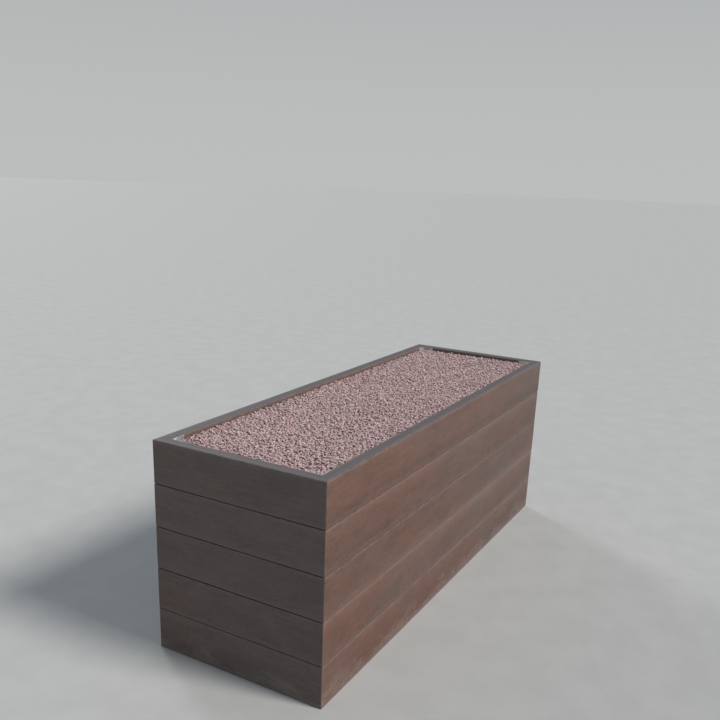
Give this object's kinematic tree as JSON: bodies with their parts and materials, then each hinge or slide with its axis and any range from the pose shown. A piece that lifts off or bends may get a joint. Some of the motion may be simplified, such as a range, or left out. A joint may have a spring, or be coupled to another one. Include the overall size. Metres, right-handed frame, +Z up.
{
  "type": "planter box",
  "caption": "Long rectangular street planter of thick horizontal composite boards with mitred corners, on a steel frame and slatted floor, filled with soil under a gravel mulch.",
  "frame": {"origin": "middle of the underside, on the ground", "axes": "+X along the length, +Y across the width to the back wall, +Z up"},
  "size_m": [1.8, 0.6, 0.69],
  "materials": {
    "wall_board": "matte",
    "floor_board": "matte",
    "galvanised_steel": "satin",
    "zinc_fixings": "satin",
    "drainage_stone": "matte",
    "filter_fleece": "matte",
    "soil": "matte",
    "gravel_mulch": "matte"
  },
  "bodies": {
    "root": {"back_board_1": "wall_board", "back_board_2": "wall_board", "back_board_3": "wall_board", "back_board_4": "wall_board", "back_board_5": "wall_board", "back_screws": "zinc_fixings", "bearer_back": "floor_board", "bearer_front": "floor_board", "bearer_middle": "floor_board", "bearer_screws": "zinc_fixings", "corner_post_back_left": "galvanised_steel", "corner_post_back_right": "galvanised_steel", "corner_post_front_left": "galvanised_steel", "corner_post_front_right": "galvanised_steel", "cross_tie_left": "galvanised_steel", "cross_tie_right": "galvanised_steel", "drainage_stone": "drainage_stone", "filter_fleece": "filter_fleece", "floor_board_01": "floor_board", "floor_board_02": "floor_board", "floor_board_03": "floor_board", "floor_board_04": "floor_board", "floor_board_05": "floor_board", "floor_board_06": "floor_board", "floor_board_07": "floor_board", "floor_board_08": "floor_board", "floor_board_09": "floor_board", "floor_board_10": "floor_board", "floor_board_11": "floor_board", "floor_board_12": "floor_board", "floor_screws": "zinc_fixings", "front_board_1": "wall_board", "front_board_2": "wall_board", "front_board_3": "wall_board", "front_board_4": "wall_board", "front_board_5": "wall_board", "front_screws": "zinc_fixings", "gravel_mulch": "gravel_mulch", "left_end_board_1": "wall_board", "left_end_board_2": "wall_board", "left_end_board_3": "wall_board", "left_end_board_4": "wall_board", "left_end_board_5": "wall_board", "left_end_screws": "zinc_fixings", "right_end_board_1": "wall_board", "right_end_board_2": "wall_board", "right_end_board_3": "wall_board", "right_end_board_4": "wall_board", "right_end_board_5": "wall_board", "right_end_screws": "zinc_fixings", "soil": "soil", "tie_bolts": "zinc_fixings", "tie_nuts": "zinc_fixings", "tie_washers": "zinc_fixings", "upright_back_left": "galvanised_steel", "upright_back_right": "galvanised_steel", "upright_front_left": "galvanised_steel", "upright_front_right": "galvanised_steel"}
  },
  "joints": []
}
